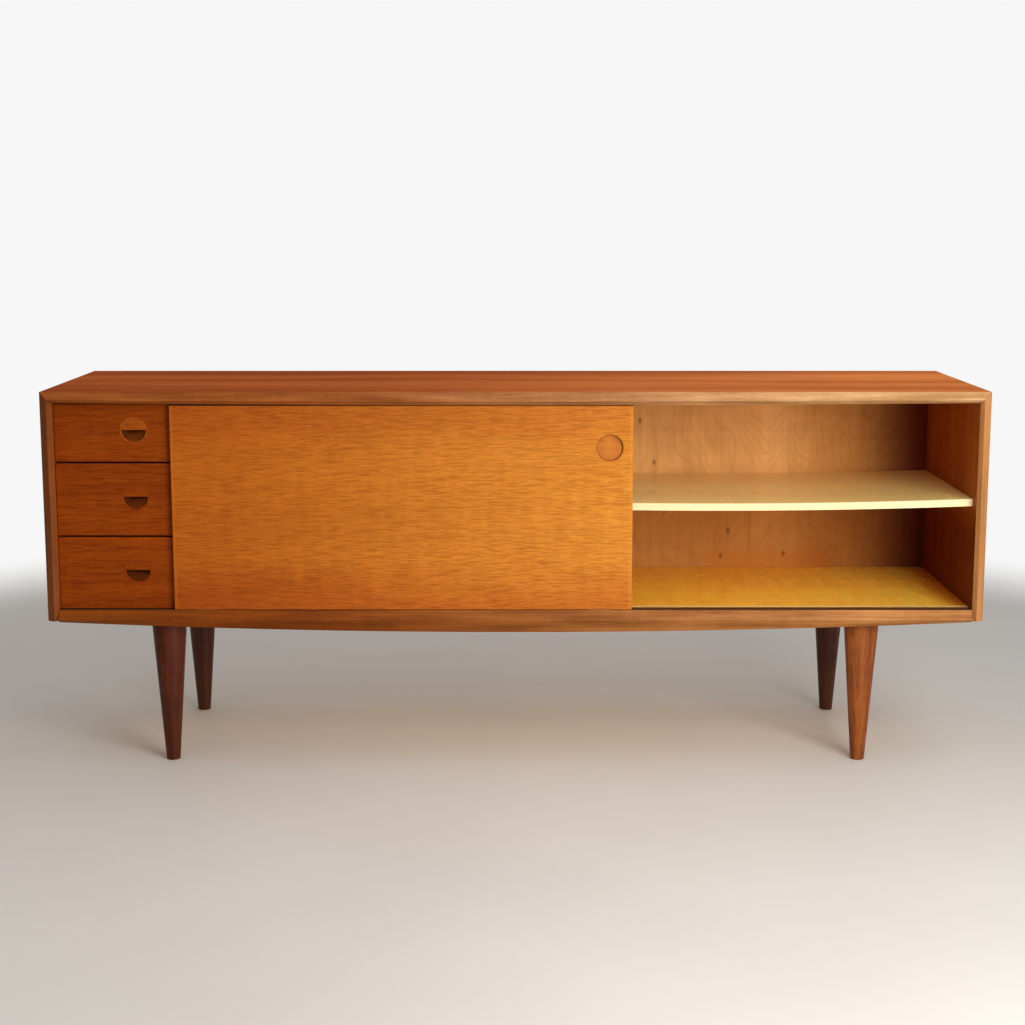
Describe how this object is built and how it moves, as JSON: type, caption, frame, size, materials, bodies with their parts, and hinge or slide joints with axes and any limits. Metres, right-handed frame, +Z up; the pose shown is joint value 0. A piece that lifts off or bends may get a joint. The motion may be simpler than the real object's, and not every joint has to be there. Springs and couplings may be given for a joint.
{
  "type": "sideboard buffet",
  "caption": "Low teak sideboard on turned tapered legs, with sliding doors, a stack of drawers with half-moon pulls and a shelved open bay.",
  "frame": {"origin": "on the floor, under the middle of the object's bounding box", "axes": "+X along the length to the right, +Y towards the back (the doors face -Y), +Z up"},
  "size_m": [1.8, 0.476, 0.733],
  "materials": {
    "teak_top": "satin oiled teak veneer",
    "teak_side": "satin oiled teak veneer",
    "teak_solid": "satin solid teak",
    "teak_door": "satin teak veneer",
    "teak_drawer": "satin teak veneer",
    "birch_back": "lacquered plywood",
    "birch_shelf": "lacquered birch veneer",
    "birch_floor": "amber lacquered birch veneer",
    "drawer_box": "plain hardwood",
    "track_wood": "dark hardwood",
    "leg_wood": "dark stained beech",
    "nylon": "self-coloured nylon",
    "pin_brass": "turned brass"
  },
  "bodies": {
    "carcase": {"top_panel": "teak_top", "left_side_panel": "teak_side", "right_side_panel": "teak_side", "drawer_divider": "teak_side", "bay_divider": "teak_side", "bottom_panel": "birch_floor", "back_panel": "birch_back", "shelf": "birch_shelf", "left_lipping": "teak_solid", "right_lipping": "teak_solid", "top_lipping": "teak_solid", "lower_front_rail": "teak_solid", "lower_door_track": "track_wood", "upper_door_track": "track_wood", "shelf_pin_left_front": "pin_brass", "leg_front_left": "leg_wood", "leg_block_front_left": "drawer_box", "shelf_pin_left_rear": "pin_brass", "leg_rear_left": "leg_wood", "leg_block_rear_left": "drawer_box", "shelf_pin_right_front": "pin_brass", "leg_front_right": "leg_wood", "leg_block_front_right": "drawer_box", "shelf_pin_right_rear": "pin_brass", "leg_rear_right": "leg_wood", "leg_block_rear_right": "drawer_box", "upper_drawer_left_runner": "drawer_box", "upper_drawer_right_runner": "drawer_box", "middle_drawer_left_runner": "drawer_box", "middle_drawer_right_runner": "drawer_box", "lower_drawer_left_runner": "drawer_box", "lower_drawer_right_runner": "drawer_box"},
    "front_door": {"front_door_panel": "teak_door", "front_door_pull": "teak_solid", "front_door_left_glide": "nylon", "front_door_right_glide": "nylon"},
    "rear_door": {"rear_door_panel": "teak_door", "rear_door_pull": "teak_solid", "rear_door_left_glide": "nylon", "rear_door_right_glide": "nylon"},
    "upper_drawer": {"upper_drawer_front": "teak_drawer", "upper_drawer_pull": "teak_solid", "upper_drawer_left_side": "drawer_box", "upper_drawer_right_side": "drawer_box", "upper_drawer_back": "drawer_box", "upper_drawer_bottom": "drawer_box"},
    "middle_drawer": {"middle_drawer_front": "teak_drawer", "middle_drawer_pull": "teak_solid", "middle_drawer_left_side": "drawer_box", "middle_drawer_right_side": "drawer_box", "middle_drawer_back": "drawer_box", "middle_drawer_bottom": "drawer_box"},
    "lower_drawer": {"lower_drawer_front": "teak_drawer", "lower_drawer_pull": "teak_solid", "lower_drawer_left_side": "drawer_box", "lower_drawer_right_side": "drawer_box", "lower_drawer_back": "drawer_box", "lower_drawer_bottom": "drawer_box"}
  },
  "joints": [
    {"name": "front_door_slide", "type": "slide", "parent": "carcase", "child": "front_door", "axis": [1, 0, 0], "range_m": [-0.223, 0.655]},
    {"name": "rear_door_slide", "type": "slide", "parent": "carcase", "child": "rear_door", "axis": [1, 0, 0], "range_m": [0, 0.655]},
    {"name": "upper_drawer_slide", "type": "slide", "parent": "carcase", "child": "upper_drawer", "axis": [0, -1, 0], "range_m": [0, 0.3]},
    {"name": "middle_drawer_slide", "type": "slide", "parent": "carcase", "child": "middle_drawer", "axis": [0, -1, 0], "range_m": [0, 0.3]},
    {"name": "lower_drawer_slide", "type": "slide", "parent": "carcase", "child": "lower_drawer", "axis": [0, -1, 0], "range_m": [0, 0.3]}
  ]
}
